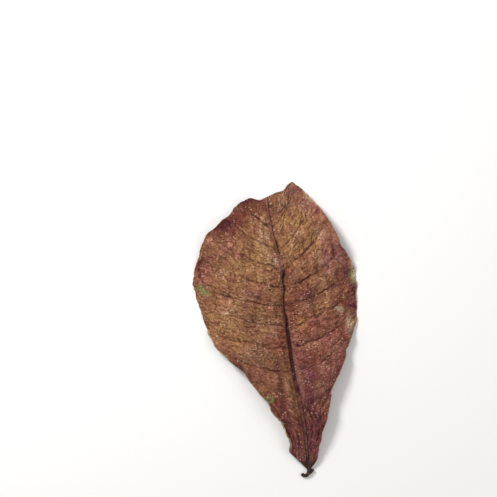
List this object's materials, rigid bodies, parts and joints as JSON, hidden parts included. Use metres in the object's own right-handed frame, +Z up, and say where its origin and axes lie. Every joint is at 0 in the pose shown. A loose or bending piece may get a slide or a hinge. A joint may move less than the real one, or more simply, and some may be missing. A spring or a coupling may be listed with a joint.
{
  "type": "indian almond leaf",
  "caption": "Dried Indian almond leaf: broad wavy blade on a narrow foot, with creased side veins, a ribbed underside, a curled lower margin and a short hooked stalk, lying flat.",
  "frame": {"origin": "middle of the leaf's bounding box, on the surface that it lies on", "axes": "+Y along the midrib from the stalk to the tip, +X to the right seen from above, +Z up, away from the surface"},
  "size_m": [0.1167, 0.2104, 0.0148],
  "materials": {
    "dry_leaf": "dry, leathery, mottled brown"
  },
  "bodies": {
    "root": {"leaf": "dry_leaf"}
  },
  "joints": []
}
